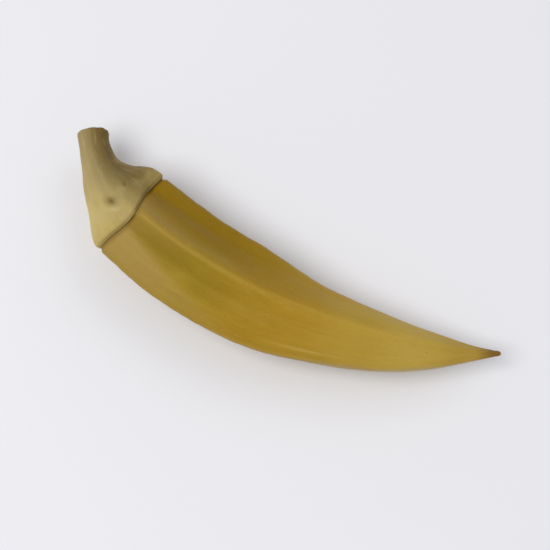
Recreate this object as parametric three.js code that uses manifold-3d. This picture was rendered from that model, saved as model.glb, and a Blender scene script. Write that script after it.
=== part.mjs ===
// One okra pod, pickled whole: the ribbed seed pod and the stem cap that it grew from.
// It lies on its side, stem towards -X and tip towards +X, curved in the horizontal plane.
// Millimetres, +Z up. "along" is a distance on the pod's bent axis: 0 at the ring where cap and
// pod meet, positive towards the tip, negative towards the stem.
import * as THREE from "three";
import { LoftGeometry } from "three/addons/geometries/LoftGeometry.js";
import { mergeVertices } from "three/addons/utils/BufferGeometryUtils.js";
import Module from "manifold-3d";

// Lengths and radii. Radii are to the crest of the ribs.
const POD_LENGTH = 64;
const STEM_LENGTH = 16;
const RING_RADIUS = 8.5;
const BELLY_RADIUS = 8.6;
const STEM_RADIUS = 2.7;
const TIP_RADIUS = 0.5;

// Radius along the pod, as [share of the pod's length, radius].
const POD_PROFILE = [
  [0, RING_RADIUS],
  [0.14, BELLY_RADIUS],
  [0.28, 0.995 * BELLY_RADIUS],
  [0.4, 0.935 * BELLY_RADIUS],
  [0.55, 0.765 * BELLY_RADIUS],
  [0.7, 0.585 * BELLY_RADIUS],
  [0.85, 0.34 * BELLY_RADIUS],
  [0.94, 0.16 * BELLY_RADIUS],
  [1, TIP_RADIUS],
];

// Radius along the cap, as [share of the cap and stem's length, radius].
const CAP_PROFILE = [
  [0, RING_RADIUS],
  [0.12, 0.95 * RING_RADIUS],
  [0.3, 0.76 * RING_RADIUS],
  [0.47, 0.55 * RING_RADIUS],
  [0.66, 1.2 * STEM_RADIUS],
  [0.85, STEM_RADIUS],
  [1, 1.05 * STEM_RADIUS],
];

// Bends, in degrees
const POD_BEND = 46;
const CAP_BEND = 40;
const NOSE_DOWN = 1;

// Slants: the ring leans towards the tip, most at RING_SLANT_TURN from straight up, and waves as it goes
// round, with the crest of a wave near the top rib. The knife cut the stem askew. Angles are in
// degrees, and each slant fades out over its reach along the axis.
const RING_SLANT = 10.5;
const RING_SLANT_TURN = 30;
const RING_WAVE = { height: 0.6, lobes: 3, turn: 14 };
const RING_REACH = 11;
const CUT_SLANT = -12;
const CUT_REACH = 5;

// The five ribs, as turns from straight up towards the pod's outer, convex side. The two at 144
// and 216 degrees carry the pod.
const RIB_ANGLES = [-2, 72, 144, 216, 288];
const CAP_TURN = 6; // degrees that the cap's ribs are turned from these
const BEAD_WIDTH = 8; // degrees

// How close the section is to a true five-sided one, as [share of the pod's length, sharpness].
const RIB_SHARPNESS = [
  [0, 12],
  [0.33, 12],
  [0.55, 6],
  [1, 6],
];

// How far the ribs wind along the pod, as [share of the pod's length, degrees].
const RIB_TWISTS = [
  [0, 1],
  [0.31, -1],
  [1, -13],
];

// Height of the crest line on each rib, as [share of the pod's length, share of the radius].
const RIB_BEADS = [
  [0, 0.038],
  [0.3, 0.024],
  [0.6, 0.012],
  [1, 0.02],
];

// How far the faces between ribs sink in, as [share of the pod's length, share of the radius].
const HOLLOWS = [
  [0, 0.075],
  [0.2, 0.05],
  [0.5, 0.015],
  [1, 0.035],
];
const HOLLOW_SKEW = 0.6; // under 1 brings the lowest line of a face nearer to its first rib

// The ribs run on over the cap and die out towards the stem.
const CAP_ROUND = 0.93; // radius of the plain round section, as a share of the crest's
const CAP_RIBS_END = 0.87; // share of the cap and stem's length
const STEM_RIBS = 0.12; // what is left of the ribs on the stem

// The cap is fuller towards one turn, by a share of its radius, most at one place on the axis.
const CAP_BULGE = { along: -5, reach: 3.2, turn: 270, share: 0.17 };

// Slow swellings, so that no two faces are alike: height in mm, waves in radians per mm of length
// and per radian of turn, and where they start.
const SWELLINGS = [
  { height: 0.13, perLength: 0.19, perTurn: 2, start: 0.6 },
  { height: 0.08, perLength: 0.34, perTurn: -3, start: 1.9 },
];

// The scar groove between cap and pod, and the pit in the cap
const RING_GAP = 0.3;
const GROOVE_DEPTH = 0.35;
const GROOVE_WIDTH = 0.32;
const PIT = { along: -4.2, angle: 19, depth: 0.7, radius: 1.1 };

// Where the pod's weight flattens it against the surface
const REST_ALONG = 20;
const REST_FLAT = 0.1;

// Resolution of the surface
const STEPS_PER_RIB = 12;
const POD_SECTIONS = 50;
const CAP_SECTIONS = 24;
const END_CROWDING = 0.7; // 0 spaces the sections evenly, 1 crowds them most at both ends
const CORE_SHARE = 0.1; // radius of the level middle of a waved end face, as a share of the skin's
const CORE_RISE = 0.1; // how far that middle stands out of the cap's end face

const FULL_TURN = 360;
const FACE_ANGLE = FULL_TURN / RIB_ANGLES.length;
const radians = THREE.MathUtils.degToRad;

// A smooth curve through [place, value] stations, flat-ended only where the stations are.
function curveThrough(stations, place) {
  const last = stations.length - 1;
  const slope = (i) => {
    const before = stations[Math.max(i - 1, 0)];
    const after = stations[Math.min(i + 1, last)];
    return (after[1] - before[1]) / (after[0] - before[0]);
  };
  let i = 0;
  while (i < last - 1 && place > stations[i + 1][0]) i += 1;
  const [start, from] = stations[i];
  const [end, to] = stations[i + 1];
  const span = end - start;
  const t = THREE.MathUtils.clamp((place - start) / span, 0, 1);
  const stay = t * t * (3 - 2 * t);
  const leave = t * (1 - t) * (1 - t) * slope(i);
  const arrive = t * t * (t - 1) * slope(i + 1);
  return from + (to - from) * stay + (leave + arrive) * span;
}

// The axis in plan: two arcs that meet at the ring, the cap's bent a little tighter.
function heading(along) {
  const ringHeading = -radians(POD_BEND) / 2;
  const bend = along > 0 ? radians(POD_BEND) / POD_LENGTH : radians(CAP_BEND) / STEM_LENGTH;
  return { ringHeading, bend, at: ringHeading + bend * along };
}

function axisPoint(along, height) {
  const { ringHeading, bend, at } = heading(along);
  const x = (Math.sin(at) - Math.sin(ringHeading)) / bend;
  const y = (Math.cos(ringHeading) - Math.cos(at)) / bend;
  return new THREE.Vector3(x, y, height);
}

// The section's radius as a share of the crest's, at a share of the way from one rib to the next.
function ribbed(way, along) {
  const fromRib = (way < 0.5 ? way : 1 - way) * FACE_ANGLE;
  const share = Math.max(along, 0) / POD_LENGTH;
  const sharpness = curveThrough(RIB_SHARPNESS, share);
  const toFace = (turn) => Math.cos(radians(turn)) ** sharpness;
  const rounded = (turn) =>
    (toFace(turn + FACE_ANGLE / 2) + toFace(turn - FACE_ANGLE / 2)) ** (-1 / sharpness);
  const faces = rounded(fromRib) / rounded(0);
  const sunk = curveThrough(HOLLOWS, share) * Math.sin(Math.PI * way ** HOLLOW_SKEW) ** 4;
  const bead = curveThrough(RIB_BEADS, share) * (Math.exp(-((fromRib / BEAD_WIDTH) ** 2)) - 1);
  return faces - sunk + bead;
}

// How much fuller the cap is at a turn, as a share of its radius.
function capBulge(along, angle) {
  const near = Math.exp(-(((along - CAP_BULGE.along) / CAP_BULGE.reach) ** 2));
  return CAP_BULGE.share * near * Math.cos(angle - radians(CAP_BULGE.turn));
}

// The height of all swellings together.
function swelling(along, angle) {
  const heights = SWELLINGS.map(
    ({ height, perLength, perTurn, start }) =>
      height * Math.sin(perLength * along + perTurn * angle + start),
  );
  return heights.reduce((sum, height) => sum + height, 0);
}

// The pit in the cap's upper side.
function pitDepth(along, angle, radius) {
  const turn = angle - radians(PIT.angle);
  const aside = radius * Math.atan2(Math.sin(turn), Math.cos(turn));
  const apart = Math.hypot(along - PIT.along, aside);
  return PIT.depth * Math.exp(-((apart / PIT.radius) ** 2));
}

// The groove that rounds both edges off where cap and pod meet.
function grooveDepth(along) {
  const fromGap = along > 0 ? along : -along - RING_GAP;
  return GROOVE_DEPTH * Math.exp(-((fromGap / GROOVE_WIDTH) ** 2));
}

// Distance from the axis to the skin, and the turn from straight up, for one point of a section.
function skinPoint(along, rib, way) {
  const from = RIB_ANGLES[rib];
  const to = rib + 1 < RIB_ANGLES.length ? RIB_ANGLES[rib + 1] : RIB_ANGLES[0] + FULL_TURN;
  const onPod = along >= 0;
  const twist = onPod ? curveThrough(RIB_TWISTS, along / POD_LENGTH) : CAP_TURN;
  const angle = radians(from + (to - from) * way + twist);
  const crest = onPod
    ? curveThrough(POD_PROFILE, along / POD_LENGTH)
    : curveThrough(CAP_PROFILE, -along / STEM_LENGTH);
  const ribbing = onPod ? 1 : Math.max(1 + along / (CAP_RIBS_END * STEM_LENGTH), STEM_RIBS);
  const shape = THREE.MathUtils.lerp(CAP_ROUND, ribbed(way, along), ribbing);
  const fuller = onPod ? 0 : capBulge(along, angle);
  const settled = swelling(along, angle) * (crest / BELLY_RADIUS);
  const pit = onPod ? 0 : pitDepth(along, angle, crest);
  return { angle, distance: crest * (shape + fuller) + settled - grooveDepth(along) - pit };
}

// All points of the section at one place on the axis.
function sectionAt(along) {
  const points = [];
  for (let rib = 0; rib < RIB_ANGLES.length; rib += 1) {
    for (let step = 0; step < STEPS_PER_RIB; step += 1) {
      points.push(skinPoint(along, rib, step / STEPS_PER_RIB));
    }
  }
  return points;
}

// How far a section reaches below the axis.
function reachBelow(along) {
  const below = sectionAt(along).map(({ angle, distance }) => -distance * Math.cos(angle));
  return Math.max(...below);
}

// Height of the axis: a straight line, nose slightly down, that sets the belly on the surface.
const REST_HEIGHT = reachBelow(REST_ALONG) - REST_FLAT;

function axisHeight(along) {
  return REST_HEIGHT - Math.tan(radians(NOSE_DOWN)) * (along - REST_ALONG);
}

// How far a section leans forward at a turn, as a slope.
function leanAt(along, angle) {
  const nearRing = Math.exp(-((along / RING_REACH) ** 2));
  const nearCut = Math.exp(-(((along + STEM_LENGTH) / CUT_REACH) ** 2));
  const wave = Math.cos(RING_WAVE.lobes * (angle - radians(RING_WAVE.turn)));
  const slant = Math.tan(radians(RING_SLANT)) * Math.cos(angle - radians(RING_SLANT_TURN));
  const ring = slant + (RING_WAVE.height / RING_RADIUS) * wave;
  const cut = Math.tan(radians(CUT_SLANT)) * Math.cos(angle);
  return ring * nearRing + cut * nearCut;
}

// One section's points in space, at a share of the way out to the skin.
function ringOfPoints(along, share = 1) {
  const centre = axisPoint(along, axisHeight(along));
  const { at } = heading(along);
  const forward = new THREE.Vector3(Math.cos(at), Math.sin(at), 0);
  const outward = new THREE.Vector3(Math.sin(at), -Math.cos(at), 0);
  const up = new THREE.Vector3(0, 0, 1);
  return sectionAt(along).map(({ angle, distance }) => {
    const reach = distance * share;
    const point = centre.clone().addScaledVector(up, reach * Math.cos(angle));
    point.addScaledVector(outward, reach * Math.sin(angle));
    return point.addScaledVector(forward, reach * leanAt(along, angle));
  });
}

// Sections from one place to another further along, closer together at both ends.
function sectionsBetween(from, to, count) {
  const sections = [];
  for (let i = 0; i < count; i += 1) {
    const even = i / (count - 1);
    const eased = (1 - Math.cos(Math.PI * even)) / 2;
    const share = THREE.MathUtils.lerp(even, eased, END_CROWDING);
    sections.push(ringOfPoints(THREE.MathUtils.lerp(from, to, share)));
  }
  return sections;
}

// A closed skin over sections, with both ends capped.
function closedLoft(sections) {
  const loft = new LoftGeometry(sections, { capStart: true, capEnd: true });
  const closed = new THREE.BufferGeometry().setIndex(loft.index);
  closed.setAttribute("position", loft.attributes.position);
  return mergeVertices(closed);
}

// Booleans: a closed geometry as a solid, and a solid back as a geometry.
const wasm = await Module();
wasm.setup();

function solidOf(geometry) {
  const vertProperties = geometry.attributes.position.array;
  const triVerts = new Uint32Array(geometry.index.array);
  return new wasm.Manifold(new wasm.Mesh({ numProp: 3, vertProperties, triVerts }));
}

function geometryOf(solid) {
  const { vertProperties, triVerts } = solid.getMesh();
  const geometry = new THREE.BufferGeometry();
  geometry.setAttribute("position", new THREE.BufferAttribute(vertProperties, 3));
  geometry.setIndex(new THREE.BufferAttribute(triVerts, 1));
  geometry.computeVertexNormals();
  return geometry;
}

// The ribbed pod, cut off level where it rests.
function makePod() {
  const ringFace = ringOfPoints(0, CORE_SHARE);
  const grown = closedLoft([ringFace, ...sectionsBetween(0, POD_LENGTH, POD_SECTIONS)]);
  const room = 3 * POD_LENGTH;
  const below = new THREE.BoxGeometry(room, room, BELLY_RADIUS);
  below.translate(0, 0, -BELLY_RADIUS / 2);
  below.deleteAttribute("normal");
  below.deleteAttribute("uv");
  const rested = solidOf(grown).subtract(solidOf(mergeVertices(below)));
  const skin = new THREE.MeshStandardMaterial({ color: 0x957628, roughness: 0.45, metalness: 0 });
  const pod = new THREE.Mesh(geometryOf(rested), skin);
  pod.name = "pod";
  return pod;
}

// The stem cap: the swollen end of the stem, tapering to the stub where it was cut.
function makeStemCap() {
  const ringFace = ringOfPoints(CORE_RISE - RING_GAP, CORE_SHARE);
  const grown = closedLoft([...sectionsBetween(-STEM_LENGTH, -RING_GAP, CAP_SECTIONS), ringFace]);
  const skin = new THREE.MeshStandardMaterial({ color: 0xb3a067, roughness: 0.55, metalness: 0 });
  const cap = new THREE.Mesh(geometryOf(solidOf(grown)), skin);
  cap.name = "stem_cap";
  return cap;
}

// The whole pod, with the middle of its footprint at the origin.
const okraPod = new THREE.Group();
okraPod.add(makePod(), makeStemCap());
const footprint = new THREE.Box3().setFromObject(okraPod, true).getCenter(new THREE.Vector3());
okraPod.position.set(-footprint.x, -footprint.y, 0);

export default okraPod;
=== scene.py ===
"""The okra pod's looks: a fine skin over each of the frame's two solids, materials, light and camera.

Shapes follow the same rules as the solids, in millimetres, and become metres when a piece is made.
"along" is a distance on the pod's bent axis: 0 at the ring where cap and pod meet, positive towards
the tip, negative towards the stem. "place" is a turn round the axis, counted in ribs from the top rib,
and "angle" is the same turn from straight up, in radians. "grown" is the same point of the skin on a
straight, even cylinder, which patterns are drawn on. A mask is a value at each point of a skin, which
its colours follow.
"""
import math

import bpy
import numpy as np
from mathutils import Color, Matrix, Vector, noise


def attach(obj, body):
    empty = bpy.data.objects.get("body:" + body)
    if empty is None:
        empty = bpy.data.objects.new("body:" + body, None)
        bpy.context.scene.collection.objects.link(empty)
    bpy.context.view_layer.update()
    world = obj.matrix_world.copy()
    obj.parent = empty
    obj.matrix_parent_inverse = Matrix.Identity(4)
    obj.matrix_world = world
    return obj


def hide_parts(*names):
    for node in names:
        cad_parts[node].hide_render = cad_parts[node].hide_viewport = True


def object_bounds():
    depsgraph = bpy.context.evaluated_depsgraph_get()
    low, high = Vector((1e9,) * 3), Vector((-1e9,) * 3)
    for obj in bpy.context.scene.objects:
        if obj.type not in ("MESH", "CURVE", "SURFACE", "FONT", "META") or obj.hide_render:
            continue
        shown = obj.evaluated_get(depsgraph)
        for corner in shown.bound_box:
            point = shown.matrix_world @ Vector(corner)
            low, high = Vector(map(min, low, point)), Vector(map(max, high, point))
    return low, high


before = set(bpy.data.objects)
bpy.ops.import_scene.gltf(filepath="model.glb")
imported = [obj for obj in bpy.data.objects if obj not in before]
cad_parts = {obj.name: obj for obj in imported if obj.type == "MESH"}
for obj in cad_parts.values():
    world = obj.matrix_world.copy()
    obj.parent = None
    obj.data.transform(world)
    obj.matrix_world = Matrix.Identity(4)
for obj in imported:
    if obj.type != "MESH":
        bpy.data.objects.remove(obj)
CAD_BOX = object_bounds()
MILLIMETRE = 0.001

# Lengths and radii of the solids
POD_LENGTH = 64.0
STEM_LENGTH = 16.0
RING_RADIUS = 8.5
BELLY_RADIUS = 8.6
STEM_RADIUS = 2.7
TIP_RADIUS = 0.5

# Crest radius along the pod and along the cap, as (share of the length, radius)
POD_PROFILE = (
    (0.0, RING_RADIUS),
    (0.14, BELLY_RADIUS),
    (0.28, 0.995 * BELLY_RADIUS),
    (0.4, 0.935 * BELLY_RADIUS),
    (0.55, 0.765 * BELLY_RADIUS),
    (0.7, 0.585 * BELLY_RADIUS),
    (0.85, 0.34 * BELLY_RADIUS),
    (0.94, 0.16 * BELLY_RADIUS),
    (1.0, TIP_RADIUS),
)
CAP_PROFILE = (
    (0.0, RING_RADIUS),
    (0.12, 0.95 * RING_RADIUS),
    (0.3, 0.76 * RING_RADIUS),
    (0.47, 0.55 * RING_RADIUS),
    (0.66, 1.2 * STEM_RADIUS),
    (0.85, STEM_RADIUS),
    (1.0, 1.05 * STEM_RADIUS),
)

# Bends and slants, in degrees, the ring's wave, and how far along the axis a slant reaches
POD_BEND = 46.0
CAP_BEND = 40.0
NOSE_DOWN = 1.0
RING_SLANT = 10.5
RING_SLANT_TURN = 30.0
WAVE_HEIGHT = 0.6
WAVE_LOBES = 3
WAVE_TURN = 14.0
RING_REACH = 11.0
CUT_SLANT = -12.0
CUT_REACH = 5.0

# Ribs, how far the cap's are turned and the pod's wind, and how far the faces between them sink in
FULL_TURN = 360.0
RIB_ANGLES = np.array([-2.0, 72.0, 144.0, 216.0, 288.0])
RIB_COUNT = len(RIB_ANGLES)
FACE_ANGLE = FULL_TURN / RIB_COUNT
CAP_TURN = 6.0
RIB_TWISTS = ((0.0, 1.0), (0.31, -1.0), (1.0, -13.0))
RIB_SHARPNESS = ((0.0, 12.0), (0.33, 12.0), (0.55, 6.0), (1.0, 6.0))
RIB_BEADS = ((0.0, 0.038), (0.3, 0.024), (0.6, 0.012), (1.0, 0.02))
BEAD_WIDTH = 8.0
HOLLOWS = ((0.0, 0.075), (0.2, 0.05), (0.5, 0.015), (1.0, 0.035))
HOLLOW_SKEW = 0.6
HOLLOW_POWER = 4
CAP_ROUND = 0.93
CAP_RIBS_END = 0.87
STEM_RIBS = 0.12

# The cap's fuller side: a place on the axis, its reach, a turn in degrees, and a share of the radius
BULGE_ALONG = -5.0
BULGE_REACH = 3.2
BULGE_TURN = 270.0
BULGE_SHARE = 0.17

# Slow swellings: height, radians per mm of length, radians per radian of turn, start
SWELLINGS = ((0.13, 0.19, 2.0, 0.6), (0.08, 0.34, -3.0, 1.9))

# The groove between cap and pod, the pit in the cap, and the flats that the pod rests on
RING_GAP = 0.3
GROOVE_DEPTH = 0.35
GROOVE_WIDTH = 0.32
PIT_ALONG = -4.2
PIT_ANGLE = 19.0
PIT_DEPTH = 0.7
PIT_RADIUS = 1.1
REST_ALONG = 20.0
REST_FLAT = 0.1

# Resolution of the fine skins
PLACES_ROUND = 220
POD_ROWS = 400
CAP_ROWS = 150
CUT_ROWS = 36
END_ROWS = 4
TIP_ROWS = 6

# Fine relief: waves in the skin, with their height, their length and width, and where their noise starts
GROWN_RADIUS = 8.0
POD_LUMPS = {"height": 0.13, "length": 8.0, "width": 5.0, "shift": 0.0, "octaves": 2}
POD_FIBRES = {"height": 0.012, "length": 16.0, "width": 0.9, "shift": 31.0}
POD_WRINKLES = {"height": 0.05, "length": 1.3, "width": 2.6, "shift": 97.0, "octaves": 2}
WRINKLED_PATCHES = {"height": 1.0, "length": 13.0, "width": 7.0, "shift": 61.0}
WRINKLED_SHARE = 0.4
RIB_NOTCHES = {"height": 0.05, "length": 1.8, "width": 1.8, "shift": 57.0, "octaves": 2}
RING_PUCKERS = {"height": 0.12, "length": 7.0, "width": 1.3, "shift": 83.0}
PUCKER_REACH = 4.0
CAP_DENTS = {"height": 0.2, "length": 5.5, "width": 4.5, "shift": 11.0, "octaves": 2}
CAP_PLEATS = {"height": 0.16, "length": 16.0, "width": 2.8, "shift": 43.0}
CAP_GRAIN = {"height": 0.03, "length": 1.0, "width": 0.9, "shift": 71.0, "octaves": 2}
CUT_GRAIN = {"height": 0.15, "length": 1.0, "width": 1.6, "shift": 23.0, "octaves": 3}
POD_VEINS = {"height": 1.0, "length": 26.0, "width": 1.5, "shift": 17.0}
CAP_VEINS = {"height": 1.0, "length": 12.0, "width": 2.2, "shift": 29.0}
VEIN_WIDTH = 0.09
VEIN_HEIGHT = 0.02

# Each finer octave of the noise is this many times shorter, and lower by that to this power
OCTAVE_STEP = 2.0
OCTAVE_FALL = 1.0

# Swellings over the rows of seeds: where they lie along the pod, and across a face as shares of its width
SEED_SPACING = 4.7
SEED_BULGE = 0.09
SEED_STARTS = np.array([0.0, 0.37, 0.61, 0.18, 0.83])
SEEDS_ALONG = 0.45 * POD_LENGTH
SEEDS_LENGTH = 0.3 * POD_LENGTH
SEEDS_WAY = 0.5
SEEDS_WIDTH = 0.22

# The cap's lip beside the groove and the pit's rim: their height, how far off they lie, and their width
LIP_HEIGHT = 0.03
LIP_DISTANCE = 0.9
LIP_WIDTH = 0.5
RIM_HEIGHT = 0.05
RIM_DISTANCE = 1.6 * PIT_RADIUS
RIM_WIDTH = 0.5 * PIT_RADIUS

# The slit in the pit's floor: its lie in degrees from the axis, its shift along itself, and its size
SLIT_LIE = 68.0
SLIT_SHIFT = 0.3
SLIT_DEPTH = 0.22
SLIT_LENGTH = 1.2
SLIT_WIDTH = 0.5

# Ends of the skins: apart inside the gap, closed by rows at shares of the way out, and a dome on the tip
POD_END = -0.48 * RING_GAP
CAP_END = -0.52 * RING_GAP
END_SHARES = np.linspace(0.1, 0.97, END_ROWS)
TIP_DOME = 2 * TIP_RADIUS

# The cut of the stem: its rounded edge, the depth of its hollow, and the share where its rows start
CUT_EDGE = 0.3
CUT_HOLLOW = 0.3
CUT_START = 0.02

# The tan band before each rib: its start and widths are shares of the way, and it narrows per mm
BAND_START = 0.4
BAND_NARROWING = 0.024
BAND_EDGE = 0.1
BAND_LENGTH = 19.0
BAND_LOSS_ON_RIB = 0.7
BAND_LOSS_WIDTH = 0.08
BAND_PAST_RIB = 0.3
BAND_PAST_RIB_WIDTH = 0.06

# The olive valley past each rib, the skin's own olive with painted shade in the hollow: its middle and
# width are shares of the way, and both grow per mm
VALLEY_WAY = 0.22
VALLEY_DRIFT = 0.006
VALLEY_WIDTH = 0.14
VALLEY_WIDENING = 0.005
VALLEY_ALONG = 10.0
VALLEY_LENGTH = 11.0

# Painted shade on one flank of the pod: its side in degrees, half its width and its soft edge in radians,
# and its fading
FLANK_SIDE = 316.0
FLANK_HALF = 0.18
FLANK_EDGE = 0.35
FLANK_ALONG = 12.0
FLANK_FADING = 14.0

# Painted shade on one flank of the cap: its side in degrees, its width in radians and per mm, and its
# loss at the ring
CAP_FLANK_SIDE = 318.0
CAP_FLANK_WIDTH = 0.9
CAP_FLANK_WIDENING = 0.025
CAP_FLANK_LOSS = 0.3
CAP_FLANK_LOSS_LENGTH = 3.0

# The pale streak on one face: its place and width in ribs, and its place and length along the pod
STREAK_PLACE = 0.8
STREAK_WIDTH = 0.025
STREAK_ALONG = 34.0
STREAK_LENGTH = 4.5

# The dark stain in the groove with painted shade over it: its darkest side is in degrees, and how far
# round that spreads in radians
STAIN_WIDTH = 0.4
STAIN_LEAST = 0.6
STAIN_SIDE = 60.0
STAIN_SPREAD = 0.9

# Pale lines on the ribs, with their width in degrees and, on the cap, their length
POD_LINE_WIDTH = 3.5
CAP_LINE_WIDTH = 12.0
CAP_LINE_LENGTH = 10.0

# Painted shade in the pit, fainter at one end, and a painted highlight on the pit's rim beside it
MARK_LENGTH = 1.35
MARK_WIDTH = 0.6
MARK_FADING = 0.35
PALE_LENGTH = 1.3
PALE_DISTANCE = 1.25
PALE_WIDTH = 0.35

# Single dark specks on the cap: strength, along, turn in degrees, radius
CAP_SPECKS = ((1.0, -5.8, 296.0, 0.4), (0.5, -4.5, 344.0, 0.3))

# Ground colours, as (share, screen colour): from ring to tip, from ring to stem, and from pith to rind
POD_GROUND = (
    (0.0, (146, 119, 48)),
    (0.09, (146, 119, 40)),
    (0.22, (147, 119, 28)),
    (0.36, (157, 123, 30)),
    (0.5, (166, 131, 38)),
    (0.65, (176, 145, 56)),
    (0.8, (185, 156, 70)),
    (0.94, (176, 144, 62)),
    (1.0, (126, 92, 40)),
)
CAP_GROUND = (
    (0.0, (184, 162, 98)),
    (0.25, (193, 174, 113)),
    (0.6, (178, 159, 110)),
    (1.0, (164, 146, 104)),
)
CUT_GROUND = ((0.0, (204, 188, 138)), (1.0, (166, 142, 86)))

# Paints over the grounds, in order: the pattern or mask that each follows, strength, screen colour
POD_PAINTS = (
    ("band", 0.65, (172, 143, 82)),
    # olive valley: the skin's own olive with painted shade in the hollow
    ("valley", 0.55, (132, 108, 24)),
    ("rib", 0.2, (186, 158, 74)),
    ("streak", 0.6, (192, 164, 84)),
    ("mottle_peaks", 0.25, (140, 106, 18)),
    ("mottle_troughs", 0.25, (176, 148, 54)),
    ("fibre_peaks", 0.06, (186, 158, 72)),
    ("fibre_troughs", 0.06, (128, 98, 16)),
    ("vein", 0.08, (190, 164, 80)),
    ("grain_peaks", 0.1, (120, 92, 18)),
    # painted shade on one flank of the pod
    ("flank", 0.85, (135, 103, 2)),
    ("pimples", 0.16, (192, 166, 88)),
    ("freckles", 0.5, (96, 66, 20)),
    # dark stain in the groove, with painted shade over it
    ("groove", 0.5, (112, 88, 38)),
)
CAP_PAINTS = (
    # painted shade on one flank of the cap
    ("flank", 0.95, (102, 81, 38)),
    ("rib", 0.2, (204, 186, 122)),
    ("mottle_peaks", 0.3, (152, 130, 72)),
    ("mottle_troughs", 0.25, (206, 188, 128)),
    ("fibre_troughs", 0.04, (150, 126, 70)),
    ("vein", 0.05, (206, 190, 130)),
    ("grain_peaks", 0.1, (138, 114, 62)),
    ("freckles", 0.45, (112, 88, 44)),
    # a painted highlight on the pit's rim, then painted shade in the pit
    ("pale_line", 0.35, (214, 198, 142)),
    ("pit_mark", 0.9, (112, 93, 44)),
    ("speck", 0.9, (48, 38, 26)),
    # dark stain in the groove, with painted shade over it
    ("groove", 0.5, (118, 96, 48)),
)
CUT_PAINTS = (("pores", 0.6, (128, 100, 56)),)
PITH_EDGE = 0.55
RIND_EDGE = 0.8

# Patterns: noise values that count as middle, peak and trough, and the full-strength share of a dot
NOISE_MIDDLE = 0.5
NOISE_PEAK = 0.75
NOISE_TROUGH = 0.25
DOT_CORE = 0.3

# Surface of the skins: least and most roughness, depth of the bump in mm, shine, and light inside
POD_ROUGHNESS = (0.36, 0.5)
CAP_ROUGHNESS = (0.4, 0.56)
POD_BUMP = 0.05
CAP_BUMP = 0.07
SHINE = 0.2
SHINE_TINT = (255, 232, 158)
INNER_LIGHT = 0.3
INNER_LIGHT_SPREAD = (1.0, 0.6, 0.15)
INNER_LIGHT_DEPTH = 0.8
SCREEN_WHITE = 255

# The mix node names its sockets alike for every kind of data, so those for colours go by number
MIX_FACTOR = 0
MIX_UNDER = 6
MIX_OVER = 7
MIX_RESULT = 2

# Floor, light and camera, in metres, watts and degrees
FLOOR_SIZE = 4.0
FLOOR_DROP = 0.00005
FLOOR_COLOUR = (232, 232, 235)
FLOOR_SHINE = 0.1
FLOOR_ROUGHNESS = (0.7, 0.9)
FLOOR_GRAINS_PER_METRE = 900.0
FLOOR_GRAIN_DETAIL = 2.0
TARGET = Vector((0.0, 0.0005, 0.006))
CAMERA_AZIMUTH = 21.0
CAMERA_ELEVATION = 76.0
LENS = 120.0
SENSOR = 36.0
FRAME_WIDTH = 0.089
CLIP_START = 0.01
LIGHTS = (
    {"name": "key", "azimuth": -50.0, "elevation": 64.0, "distance": 0.7, "size": 0.45, "power": 3.0},
    {"name": "fill", "azimuth": 150.0, "elevation": 50.0, "distance": 0.8, "size": 0.6, "power": 0.7},
)
WORLD_COLOUR = (236, 236, 240)
WORLD_STRENGTH = 0.54


# Shape of the solids
def curve_through(stations, share):
    """A smooth curve through (share, value) stations."""
    shares, values = np.array(stations).T
    last = len(shares) - 1
    ahead = np.minimum(np.arange(last + 1) + 1, last)
    behind = np.maximum(np.arange(last + 1) - 1, 0)
    slopes = (values[ahead] - values[behind]) / (shares[ahead] - shares[behind])
    start = np.clip(np.searchsorted(shares, share) - 1, 0, last - 1)
    end = start + 1
    span = shares[end] - shares[start]
    way = np.clip((share - shares[start]) / span, 0, 1)
    rise = way * way * (3 - 2 * way)
    leave = way * (1 - way) ** 2 * slopes[start]
    arrive = way * way * (way - 1) * slopes[end]
    return values[start] + (values[end] - values[start]) * rise + (leave + arrive) * span


def bump(distance, reach):
    """1 at no distance, falling smoothly to 0 over about twice the reach."""
    return np.exp(-((distance / reach) ** 2))


def way_between_ribs(place):
    """Share of the way from one rib to the next."""
    return place - np.floor(place)


def degrees_from_rib(place):
    """Turn from the nearest rib, as if the ribs were evenly spaced."""
    way = way_between_ribs(place)
    return np.minimum(way, 1 - way) * FACE_ANGLE


def ribbed(place, along):
    """The section's radius as a share of the crest's."""
    from_rib = degrees_from_rib(place)
    share = np.maximum(along, 0) / POD_LENGTH
    sharpness = curve_through(RIB_SHARPNESS, share)

    def rounded(turn):
        near = np.cos(np.radians(turn - FACE_ANGLE / 2)) ** sharpness
        far = np.cos(np.radians(turn + FACE_ANGLE / 2)) ** sharpness
        return (near + far) ** (-1 / sharpness)

    faces = rounded(from_rib) / rounded(0.0)
    across = np.sin(np.pi * way_between_ribs(place) ** HOLLOW_SKEW) ** HOLLOW_POWER
    sunk = curve_through(HOLLOWS, share) * across
    return faces - sunk + curve_through(RIB_BEADS, share) * (bump(from_rib, BEAD_WIDTH) - 1)


def turn_at(along, place):
    """Turn from straight up towards the outer side of the bend, in radians."""
    rib = np.floor(place).astype(int) % RIB_COUNT
    spans = np.diff(np.append(RIB_ANGLES, RIB_ANGLES[0] + FULL_TURN))
    twist = np.where(along >= 0, curve_through(RIB_TWISTS, along / POD_LENGTH), CAP_TURN)
    return np.radians(RIB_ANGLES[rib] + spans[rib] * way_between_ribs(place) + twist)


def crest_at(along):
    """Radius of the plain section at its ribs."""
    pod = curve_through(POD_PROFILE, along / POD_LENGTH)
    cap = curve_through(CAP_PROFILE, -along / STEM_LENGTH)
    return np.where(along >= 0, pod, cap)


def from_ring(along):
    """Distance from the edge of the gap between cap and pod."""
    return np.where(along >= 0, along, -along - RING_GAP)


def turned_from(angle, degrees):
    """Turn between an angle in radians and one in degrees, the short way round."""
    turn = angle - math.radians(degrees)
    return np.arctan2(np.sin(turn), np.cos(turn))


def from_pit(along, angle):
    """Distances on the skin from the middle of the pit: along the axis and round it."""
    return along - PIT_ALONG, crest_at(along) * turned_from(angle, PIT_ANGLE)


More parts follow.
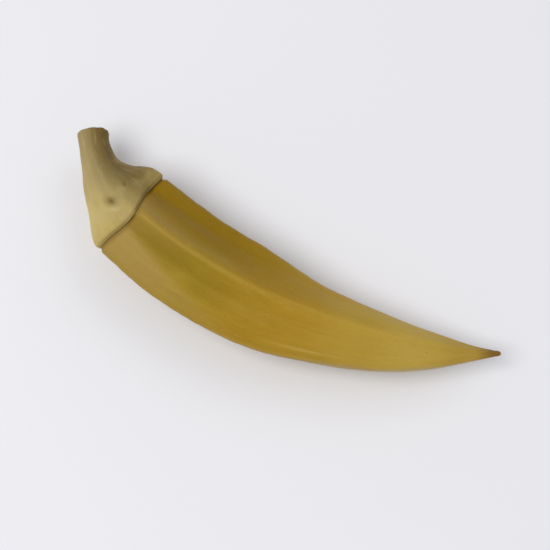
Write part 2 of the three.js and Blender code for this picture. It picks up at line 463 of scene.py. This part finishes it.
def skin_distance(along, place):
    """Distance from the axis to the skin, as the solids have it."""
    angle = turn_at(along, place)
    crest = crest_at(along)
    fading = np.maximum(1 + along / (CAP_RIBS_END * STEM_LENGTH), STEM_RIBS)
    ribbing = np.where(along >= 0, 1, fading)
    shape = CAP_ROUND + (ribbed(place, along) - CAP_ROUND) * ribbing
    fuller = bump(along - BULGE_ALONG, BULGE_REACH) * np.cos(angle - math.radians(BULGE_TURN))
    shape = np.where(along >= 0, shape, shape + BULGE_SHARE * fuller)
    swelling = sum(
        height * np.sin(per_length * along + per_turn * angle + start)
        for height, per_length, per_turn, start in SWELLINGS
    )
    groove = GROOVE_DEPTH * bump(from_ring(along), GROOVE_WIDTH)
    pit = np.where(along >= 0, 0, PIT_DEPTH * bump(np.hypot(*from_pit(along, angle)), PIT_RADIUS))
    return crest * shape + swelling * crest / BELLY_RADIUS - groove - pit


def heading_at(along):
    """Heading of the axis in plan at the ring, its bend per mm, and its heading here, in radians."""
    ring_heading = -math.radians(POD_BEND) / 2
    pod_bend = math.radians(POD_BEND) / POD_LENGTH
    cap_bend = math.radians(CAP_BEND) / STEM_LENGTH
    bend = np.where(along > 0, pod_bend, cap_bend)
    return ring_heading, bend, ring_heading + bend * along


def rest_height():
    """Height of the axis over the surface at the place where the pod rests."""
    places = np.linspace(0, RIB_COUNT, PLACES_ROUND, endpoint=False)
    along = np.full(PLACES_ROUND, REST_ALONG)
    below = -skin_distance(along, places) * np.cos(turn_at(along, places))
    return below.max() - REST_FLAT


REST_HEIGHT = rest_height()


def lean_at(along, angle):
    """How far a section leans forward at a turn, as a slope."""
    wave = WAVE_HEIGHT / RING_RADIUS * np.cos(WAVE_LOBES * (angle - math.radians(WAVE_TURN)))
    slant = math.tan(math.radians(RING_SLANT)) * np.cos(angle - math.radians(RING_SLANT_TURN))
    cut = math.tan(math.radians(CUT_SLANT)) * np.cos(angle)
    return (slant + wave) * bump(along, RING_REACH) + cut * bump(along + STEM_LENGTH, CUT_REACH)


def in_space(along, angle, distance):
    """Points in space, from places on the axis, turns and distances from the axis."""
    ring_heading, bend, heading = heading_at(along)
    rise = distance * np.cos(angle)
    out = distance * np.sin(angle)
    lean = distance * lean_at(along, angle)
    axis_x = (np.sin(heading) - math.sin(ring_heading)) / bend
    axis_y = (math.cos(ring_heading) - np.cos(heading)) / bend
    axis_height = REST_HEIGHT - math.tan(math.radians(NOSE_DOWN)) * (along - REST_ALONG)
    x = axis_x + out * np.sin(heading) + lean * np.cos(heading)
    y = axis_y - out * np.cos(heading) + lean * np.sin(heading)
    return np.stack([x, y, np.maximum(axis_height + rise, 0)], axis=-1)


# Fine relief
def grown_at(along, place):
    """Points on a straight, even cylinder, so that a line along it runs from the ring to the tip."""
    turn = 2 * np.pi * place / RIB_COUNT
    return np.stack([along, GROWN_RADIUS * np.cos(turn), GROWN_RADIUS * np.sin(turn)], axis=-1)


def wavering(grown, height, length, width, shift, octaves=1):
    """Smooth noise of a height, with waves of a length along the pod and a width across."""
    scaled = ((grown + shift) / np.array([length, width, width])).reshape(-1, 3)
    values = [noise.fractal(Vector(point), OCTAVE_FALL, OCTAVE_STEP, octaves) for point in scaled]
    return height * np.array(values).reshape(grown.shape[:-1])


def veins_at(grown, veins):
    """1 on thin lines that wander along the skin, 0 away from them."""
    return bump(wavering(grown, **veins), VEIN_WIDTH)


def seed_bulges(along, place):
    """The rows of seeds that show faintly through the faces."""
    face = np.floor(place).astype(int) % RIB_COUNT
    rows = 0.5 + 0.5 * np.cos(2 * np.pi * (along / SEED_SPACING + SEED_STARTS[face]))
    belly = bump(along - SEEDS_ALONG, SEEDS_LENGTH)
    return SEED_BULGE * rows * belly * bump(way_between_ribs(place) - SEEDS_WAY, SEEDS_WIDTH)


def pod_relief(along, place, grown, veins):
    """Lumps, veins, notched ribs, seeds, wrinkles and puckers of the pod's skin, in mm."""
    slender = crest_at(along) / BELLY_RADIUS
    on_rib = bump(degrees_from_rib(place), BEAD_WIDTH)
    raised = wavering(grown, **POD_LUMPS) + wavering(grown, **POD_FIBRES) + VEIN_HEIGHT * veins
    raised = raised + on_rib * wavering(grown, **RIB_NOTCHES) + seed_bulges(along, place)
    patches = np.clip(WRINKLED_SHARE + wavering(grown, **WRINKLED_PATCHES), 0, 1)
    raised = raised + patches * wavering(grown, **POD_WRINKLES)
    return slender * raised + np.exp(-along / PUCKER_REACH) * wavering(grown, **RING_PUCKERS)


def from_slit(along, angle):
    """Distances on the skin from the middle of the slit in the pit: along the slit and across it."""
    ahead, aside = from_pit(along, angle)
    lie = math.radians(SLIT_LIE)
    lengthwise = ahead * math.cos(lie) - aside * math.sin(lie)
    across = ahead * math.sin(lie) + aside * math.cos(lie)
    return lengthwise - SLIT_SHIFT, across


def cap_relief(along, place, grown, veins):
    """Dents, pleats towards the stem, the lip at the ring, and the pit's rim and slit, in mm."""
    angle = turn_at(along, place)
    lengthwise, across = from_slit(along, angle)
    stem = np.clip(-along / STEM_LENGTH, 0, 1)
    skin = wavering(grown, **CAP_DENTS) + wavering(grown, **CAP_GRAIN) + VEIN_HEIGHT * veins
    pleats = stem * wavering(grown, **CAP_PLEATS)
    lip = LIP_HEIGHT * bump(from_ring(along) - LIP_DISTANCE, LIP_WIDTH)
    rim = RIM_HEIGHT * bump(np.hypot(*from_pit(along, angle)) - RIM_DISTANCE, RIM_WIDTH)
    slit = SLIT_DEPTH * bump(lengthwise, SLIT_LENGTH) * bump(across, SLIT_WIDTH)
    return skin + pleats + lip + rim - slit


# Marks that colours follow
def band_at(along, place):
    """The tan band before each rib, wide at the ring and gone by the middle of the pod."""
    way = way_between_ribs(place)
    start = BAND_START + BAND_NARROWING * along
    before_rib = bump(np.maximum(start - way, 0), BAND_EDGE)
    before_rib = before_rib * (1 - BAND_LOSS_ON_RIB * bump(1 - way, BAND_LOSS_WIDTH))
    past_rib = BAND_PAST_RIB * bump(way, BAND_PAST_RIB_WIDTH)
    return np.maximum(before_rib, past_rib) * bump(along, BAND_LENGTH)


def valley_at(along, place):
    """The olive hollow past each rib, near the ring: the skin's own olive with painted shade in the
    hollow.
    """
    way = way_between_ribs(place)
    middle = VALLEY_WAY + VALLEY_DRIFT * along
    width = VALLEY_WIDTH + VALLEY_WIDENING * along
    return bump(way - middle, width) * bump(along - VALLEY_ALONG, VALLEY_LENGTH)


def flank_at(angle):
    """1 on the side of the pod that gets painted shade, 0 on its other sides."""
    return bump(np.maximum(np.abs(turned_from(angle, FLANK_SIDE)) - FLANK_HALF, 0), FLANK_EDGE)


def cap_flank_at(along, angle):
    """Painted shade on one side of the cap, wider towards the stem and weaker at the ring."""
    width = CAP_FLANK_WIDTH - CAP_FLANK_WIDENING * along
    loss = CAP_FLANK_LOSS * bump(along, CAP_FLANK_LOSS_LENGTH)
    return bump(turned_from(angle, CAP_FLANK_SIDE), width) * (1 - loss)


def groove_stain(along, angle):
    """The dark stain in the groove with painted shade over it, darkest on the outer side of the top rib.
    """
    strength = STAIN_LEAST + (1 - STAIN_LEAST) * bump(turned_from(angle, STAIN_SIDE), STAIN_SPREAD)
    return bump(from_ring(along), STAIN_WIDTH) * strength


def spot(along, angle, spot_along, spot_degrees, radius):
    """A round mark on the skin."""
    aside = crest_at(along) * turned_from(angle, spot_degrees)
    return bump(np.hypot(along - spot_along, aside), radius)


# Pieces
def eased(start, end, count):
    """Steps from start to end, closer together at both ends."""
    even = np.linspace(0, 1, count)
    crowded = (1 - np.cos(np.pi * even)) / 2
    return start + (end - start) * (0.5 * even + 0.5 * crowded)


def grid_of(rows):
    """Grids of along, place and share from rows of (along, share of the way out to the skin)."""
    alongs, shares = np.concatenate([np.stack(np.broadcast_arrays(*row)) for row in rows], axis=1)
    places = np.linspace(0, RIB_COUNT, PLACES_ROUND, endpoint=False)
    along, place = np.meshgrid(alongs, places, indexing="ij")
    return along, place, np.broadcast_to(shares[:, None], along.shape)


def tube_faces(rows):
    """Quads between neighbouring rows, and a fan over each end."""
    here = np.arange(PLACES_ROUND)
    following = (here + 1) % PLACES_ROUND
    faces = []
    for row in range(rows - 1):
        first = row * PLACES_ROUND
        second = first + PLACES_ROUND
        quads = np.stack([first + here, first + following, second + following, second + here], axis=-1)
        faces.extend(quads.tolist())
    first_middle = rows * PLACES_ROUND
    last_middle = first_middle + 1
    last_row = first_middle - PLACES_ROUND
    edges = list(zip(here.tolist(), following.tolist()))
    faces.extend([first_middle, end, start] for start, end in edges)
    faces.extend([last_middle, last_row + start, last_row + end] for start, end in edges)
    return faces


def with_end_middles(values):
    """A grid of values as a flat list, followed by the mean of its first and of its last row."""
    flat = values.reshape(-1, *values.shape[2:])
    return np.concatenate([flat, values[:1].mean(axis=1), values[-1:].mean(axis=1)])


def make_piece(name, points, masks):
    """A smooth mesh over a grid of points in mm, with its masks as attributes."""
    mesh = bpy.data.meshes.new(name)
    mesh.from_pydata((with_end_middles(points) * MILLIMETRE).tolist(), [], tube_faces(len(points)))
    mesh.shade_smooth()
    for mask, values in masks.items():
        kind, field = ("FLOAT_VECTOR", "vector") if values.ndim == 3 else ("FLOAT", "value")
        attribute = mesh.attributes.new(mask, kind, "POINT")
        attribute.data.foreach_set(field, with_end_middles(values).astype(np.float32).ravel())
    piece = bpy.data.objects.new(name, mesh)
    bpy.context.scene.collection.objects.link(piece)
    return piece


def pod_shape():
    """The pod's points, and the masks that its colours follow."""
    dome = np.linspace(0, 1, TIP_ROWS + 2)[1:-1]
    reached, place, share = grid_of([
        (POD_END, END_SHARES),
        (eased(0.0, POD_LENGTH, POD_ROWS), 1.0),
        (POD_LENGTH + TIP_DOME * dome, np.sqrt(1 - dome**2)),
    ])
    along = np.maximum(reached, 0)
    angle = turn_at(along, place)
    grown = grown_at(along, place)
    veins = veins_at(grown, POD_VEINS)
    distance = skin_distance(along, place) + pod_relief(along, place, grown, veins)
    points = in_space(reached, angle, distance * share)
    # the side of the pod with painted shade, which the band and the valley keep off
    flank = flank_at(angle)
    masks = {
        "grown": grown,
        "length": along / POD_LENGTH,
        "vein": veins,
        "rib": bump(degrees_from_rib(place), POD_LINE_WIDTH),
        "valley": valley_at(along, place) * (1 - flank),
        "band": band_at(along, place) * (1 - flank),
        # painted shade on that flank, fading towards the tip
        "flank": flank * bump(np.maximum(along - FLANK_ALONG, 0), FLANK_FADING),
        "streak": bump(place - STREAK_PLACE, STREAK_WIDTH) * bump(along - STREAK_ALONG, STREAK_LENGTH),
        "groove": groove_stain(along, angle),
    }
    return points, masks


def cap_shape():
    """The cap's points, and the masks that its colours follow."""
    reached, place, share = grid_of([
        (-STEM_LENGTH, np.linspace(CUT_START, 1.0, CUT_ROWS)[:-1]),
        (eased(-STEM_LENGTH, -RING_GAP, CAP_ROWS), 1.0),
        (CAP_END, END_SHARES[::-1]),
    ])
    along = np.minimum(reached, -RING_GAP)
    angle = turn_at(along, place)
    grown = grown_at(along, place)
    veins = veins_at(grown, CAP_VEINS)
    from_edge = np.clip(1 - (along + STEM_LENGTH) / CUT_EDGE, 0, 1)
    rounded_off = CUT_EDGE * (1 - np.sqrt(1 - from_edge**2))
    distance = skin_distance(along, place) + cap_relief(along, place, grown, veins) - rounded_off

    on_cut = (along <= -STEM_LENGTH) & (share < 1)
    section = grown * share[..., None] * (0, 1, 1)
    hollow = CUT_HOLLOW * (1 - share**2) + np.sqrt(1 - share) * wavering(section, **CUT_GRAIN)
    points = in_space(reached + np.where(on_cut, hollow, 0), angle, distance * share)

    lengthwise, across = from_slit(along, angle)
    mark_fading = 1 - MARK_FADING * np.clip(lengthwise, 0, 1)
    line_fading = np.clip(1 + along / CAP_LINE_LENGTH, 0, 1)
    masks = {
        "grown": np.where(on_cut[..., None], section, grown),
        "vein": veins,
        "rib": bump(degrees_from_rib(place), CAP_LINE_WIDTH) * line_fading,
        "stem": np.clip(-along / STEM_LENGTH, 0, 1),
        "cut": on_cut.astype(float),
        "cut_radius": share,
        # painted shade in the pit, and a painted highlight on its rim beside it
        "pit_mark": bump(lengthwise, MARK_LENGTH) * bump(across, MARK_WIDTH) * mark_fading,
        "pale_line": bump(lengthwise, PALE_LENGTH) * bump(across - PALE_DISTANCE, PALE_WIDTH),
        # painted shade on one flank of the cap
        "flank": cap_flank_at(along, angle),
        "speck": sum(strength * spot(along, angle, *speck) for strength, *speck in CAP_SPECKS),
        "groove": groove_stain(along, angle),
    }
    return points, masks


# Materials
def linear(screen_colour):
    """A screen colour of 0 to 255 as the shader's linear colour."""
    screen = Color([channel / SCREEN_WHITE for channel in screen_colour])
    return (*screen.from_srgb_to_scene_linear(), 1.0)


class Shade:
    """One material's nodes, around its main shader."""

    def __init__(self, name):
        self.material = bpy.data.materials.new(name)
        self.material.use_nodes = True
        self.tree = self.material.node_tree
        self.shader = self.tree.nodes["Principled BSDF"]

    def plug(self, socket, value):
        """Links another node's output to a socket, or sets a plain value on it."""
        if isinstance(value, bpy.types.NodeSocket):
            self.tree.links.new(value, socket)
        else:
            socket.default_value = value

    def node(self, kind, **inputs):
        """A new node, with its inputs by name, where an underscore stands for a space."""
        made = self.tree.nodes.new(kind)
        for name, value in inputs.items():
            self.plug(made.inputs[name.replace("_", " ")], value)
        return made

    def attribute(self, name):
        """A node that reads an attribute of the mesh."""
        made = self.tree.nodes.new("ShaderNodeAttribute")
        made.attribute_name = name
        return made

    def mask(self, name):
        """The value of one of the piece's masks."""
        return self.attribute(name).outputs["Fac"]

    def stretched(self, stretch):
        """The grown place on the skin, drawn out along the pod."""
        scaled = self.node("ShaderNodeMapping", Vector=self.attribute("grown").outputs["Vector"])
        scaled.inputs["Scale"].default_value = (1 / stretch, 1.0, 1.0)
        return scaled.outputs["Vector"]

    def noise(self, size, stretch, detail=3.0):
        """Noise with waves of a size in mm across, drawn out along the pod."""
        place = self.stretched(stretch)
        made = self.node("ShaderNodeTexNoise", Vector=place, Scale=1 / size, Detail=detail)
        return made.outputs["Fac"]

    def dots(self, spacing, radius, share):
        """Round dots at random places, in a share of the cells of a spacing in mm."""
        cells = self.node("ShaderNodeTexVoronoi", Vector=self.stretched(1.0), Scale=1 / spacing)
        inside = self.between(cells.outputs["Distance"], radius / spacing, DOT_CORE * radius / spacing)
        drawn = self.node("ShaderNodeSeparateColor", Color=cells.outputs["Color"])
        chosen = self.math("LESS_THAN", drawn.outputs["Red"], share)
        strength = self.math("MULTIPLY", inside, drawn.outputs["Green"])
        return self.math("MULTIPLY", chosen, strength)

    def between(self, value, low, high):
        """0 where a value is at low or beyond, 1 where it is at high or beyond."""
        made = self.node("ShaderNodeMapRange", Value=value, From_Min=low, From_Max=high)
        made.interpolation_type = "SMOOTHSTEP"
        return made.outputs["Result"]

    def peaks(self, noise_value):
        """1 at the highest places of a noise, 0 where it is at its middle or lower."""
        return self.between(noise_value, NOISE_MIDDLE, NOISE_PEAK)

    def troughs(self, noise_value):
        """1 at the lowest places of a noise, 0 where it is at its middle or higher."""
        return self.between(noise_value, NOISE_MIDDLE, NOISE_TROUGH)

    def ranged(self, value, low, high):
        """A value of 0 to 1 as one from low to high."""
        return self.node("ShaderNodeMapRange", Value=value, To_Min=low, To_Max=high).outputs["Result"]

    def math(self, operation, first, second):
        """Two values put through an operation."""
        made = self.tree.nodes.new("ShaderNodeMath")
        made.operation = operation
        self.plug(made.inputs[0], first)
        self.plug(made.inputs[1], second)
        return made.outputs[0]

    def ramp(self, value, stops):
        """Colours along a value of 0 to 1, from (value, screen colour) stops."""
        made = self.node("ShaderNodeValToRGB", Fac=value)
        made.color_ramp.interpolation = "EASE"
        elements = made.color_ramp.elements
        while len(elements) < len(stops):
            elements.new(1.0)
        for element, (position, screen_colour) in zip(elements, stops):
            element.position = position
            element.color = linear(screen_colour)
        return made.outputs["Color"]

    def over(self, under, mask, strength, paint):
        """A paint over a colour, where a mask is 1, at a strength of 0 to 1."""
        made = self.tree.nodes.new("ShaderNodeMix")
        made.data_type = "RGBA"
        self.plug(made.inputs[MIX_FACTOR], self.math("MULTIPLY", mask, strength))
        self.plug(made.inputs[MIX_UNDER], under)
        self.plug(made.inputs[MIX_OVER], paint)
        return made.outputs[MIX_RESULT]

    def painted(self, colour, paints, patterns):
        """Paints over a colour, each where its pattern is or, if it has none, its mask."""
        for name, strength, screen_colour in paints:
            where = patterns[name] if name in patterns else self.mask(name)
            colour = self.over(colour, where, strength, linear(screen_colour))
        return colour

    def finish(self, colour, roughness, height, depth):
        """Colour, roughness and bump go to the shader. Depth is the bump's, in mm."""
        relief = self.node("ShaderNodeBump", Height=height, Distance=depth * MILLIMETRE)
        self.plug(self.shader.inputs["Base Color"], colour)
        self.plug(self.shader.inputs["Roughness"], roughness)
        self.plug(self.shader.inputs["Normal"], relief.outputs["Normal"])
        self.shader.inputs["Specular IOR Level"].default_value = SHINE
        self.shader.inputs["Specular Tint"].default_value = linear(SHINE_TINT)
        self.shader.inputs["Subsurface Weight"].default_value = INNER_LIGHT
        self.shader.inputs["Subsurface Radius"].default_value = INNER_LIGHT_SPREAD
        self.shader.inputs["Subsurface Scale"].default_value = INNER_LIGHT_DEPTH * MILLIMETRE
        return self.material


def pod_skin():
    """Olive pickled skin: paler ribs and veins, olive valleys partly darkened by painted shade, painted
    shade on one flank, pimples and freckles.
    """
    shade = Shade("pod_skin")
    fibre = shade.noise(size=0.8, stretch=22.0)
    grain = shade.noise(size=0.35, stretch=2.0)
    mottle = shade.noise(size=3.5, stretch=2.5, detail=4.0)
    pimples = shade.dots(spacing=0.75, radius=0.24, share=0.8)
    patterns = {
        "mottle_peaks": shade.peaks(mottle),
        "mottle_troughs": shade.troughs(mottle),
        "fibre_peaks": shade.peaks(fibre),
        "fibre_troughs": shade.troughs(fibre),
        "grain_peaks": shade.peaks(grain),
        "pimples": pimples,
        "freckles": shade.dots(spacing=2.4, radius=0.26, share=0.25),
    }
    ground = shade.ramp(shade.mask("length"), POD_GROUND)
    colour = shade.painted(ground, POD_PAINTS, patterns)
    height = shade.math("ADD", shade.math("ADD", fibre, grain), pimples)
    return shade.finish(colour, shade.ranged(mottle, *POD_ROUGHNESS), height, POD_BUMP)


def cap_skin():
    """Pale khaki cap, darker towards the stem, with painted shade on one flank and in the pit, a painted
    highlight on the pit's rim, and a pale fibrous cut.
    """
    shade = Shade("cap_skin")
    fibre = shade.noise(size=0.8, stretch=12.0)
    grain = shade.noise(size=0.35, stretch=1.5)
    mottle = shade.noise(size=2.6, stretch=1.4, detail=4.0)
    patterns = {
        "mottle_peaks": shade.peaks(mottle),
        "mottle_troughs": shade.troughs(mottle),
        "fibre_troughs": shade.troughs(fibre),
        "grain_peaks": shade.peaks(grain),
        "freckles": shade.dots(spacing=2.4, radius=0.28, share=0.15),
        "pores": shade.dots(spacing=0.9, radius=0.35, share=0.6),
    }
    ground = shade.ramp(shade.mask("stem"), CAP_GROUND)
    skin = shade.painted(ground, CAP_PAINTS, patterns)
    wood = shade.ramp(shade.between(shade.mask("cut_radius"), PITH_EDGE, RIND_EDGE), CUT_GROUND)
    cut = shade.painted(wood, CUT_PAINTS, patterns)
    colour = shade.over(skin, shade.mask("cut"), 1.0, cut)
    return shade.finish(colour, shade.ranged(mottle, *CAP_ROUGHNESS), grain, CAP_BUMP)


def floor_paint():
    """A pale, matt, faintly uneven surface."""
    shade = Shade("floor")
    uneven = shade.node("ShaderNodeTexNoise", Scale=FLOOR_GRAINS_PER_METRE, Detail=FLOOR_GRAIN_DETAIL)
    roughness = shade.ranged(uneven.outputs["Fac"], *FLOOR_ROUGHNESS)
    shade.shader.inputs["Base Color"].default_value = linear(FLOOR_COLOUR)
    shade.shader.inputs["Specular IOR Level"].default_value = FLOOR_SHINE
    shade.plug(shade.shader.inputs["Roughness"], roughness)
    return shade.material


# The object
def add_object():
    """Both pieces, in the place of the solids that they stand for."""
    pod_points, pod_masks = pod_shape()
    cap_points, cap_masks = cap_shape()
    every_point = np.concatenate([pod_points.reshape(-1, 3), cap_points.reshape(-1, 3)])
    own_middle = (every_point.min(axis=0) + every_point.max(axis=0)) / 2
    cad_middle = np.mean(CAD_BOX, axis=0) / MILLIMETRE
    to_frame = (cad_middle - own_middle) * (1, 1, 0)

    pod = make_piece("okra_pod_skin", pod_points + to_frame, pod_masks)
    pod.data.materials.append(pod_skin())
    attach(pod, "root")
    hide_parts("pod")

    cap = make_piece("okra_stem_cap_skin", cap_points + to_frame, cap_masks)
    cap.data.materials.append(cap_skin())
    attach(cap, "root")
    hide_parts("stem_cap")


# Floor, light and camera
def direction(azimuth, elevation):
    """From the object towards a place seen at an azimuth and an elevation, in degrees."""
    flat = math.cos(math.radians(elevation))
    turn = math.radians(azimuth)
    return Vector((flat * math.sin(turn), -flat * math.cos(turn), math.sin(math.radians(elevation))))


def look_at_target(thing):
    """Turns a camera or a lamp to the middle of the picture."""
    thing.rotation_euler = (TARGET - thing.location).to_track_quat("-Z", "Y").to_euler()


def add_floor():
    """A wide square just under the pod."""
    half = FLOOR_SIZE / 2
    corners = [(-half, -half), (half, -half), (half, half), (-half, half)]
    mesh = bpy.data.meshes.new("floor")
    mesh.from_pydata([(x, y, -FLOOR_DROP) for x, y in corners], [], [(0, 1, 2, 3)])
    floor = bpy.data.objects.new("floor", mesh)
    floor.data.materials.append(floor_paint())
    bpy.context.scene.collection.objects.link(floor)


def add_light(name, azimuth, elevation, distance, size, power):
    """A round, soft lamp that shines on the object."""
    light = bpy.data.lights.new(name, "AREA")
    light.shape = "DISK"
    light.size = size
    light.energy = power
    lamp = bpy.data.objects.new(name, light)
    lamp.location = TARGET + distance * direction(azimuth, elevation)
    look_at_target(lamp)
    bpy.context.scene.collection.objects.link(lamp)


def add_camera():
    """A camera that looks down on the pod, as far off as its frame's width asks for."""
    camera = bpy.data.objects.new("camera", bpy.data.cameras.new("camera"))
    camera.data.lens = LENS
    camera.data.sensor_width = SENSOR
    camera.data.clip_start = CLIP_START
    distance = FRAME_WIDTH * LENS / SENSOR
    camera.location = TARGET + distance * direction(CAMERA_AZIMUTH, CAMERA_ELEVATION)
    look_at_target(camera)
    bpy.context.scene.collection.objects.link(camera)
    bpy.context.scene.camera = camera


def set_world():
    """Even white light from all around."""
    world = bpy.data.worlds.new("studio")
    world.use_nodes = True
    background = world.node_tree.nodes["Background"]
    background.inputs["Color"].default_value = linear(WORLD_COLOUR)
    background.inputs["Strength"].default_value = WORLD_STRENGTH
    bpy.context.scene.world = world


add_object()
add_floor()
for settings in LIGHTS:
    add_light(**settings)
add_camera()
set_world()
bpy.context.scene.view_settings.view_transform = "Standard"
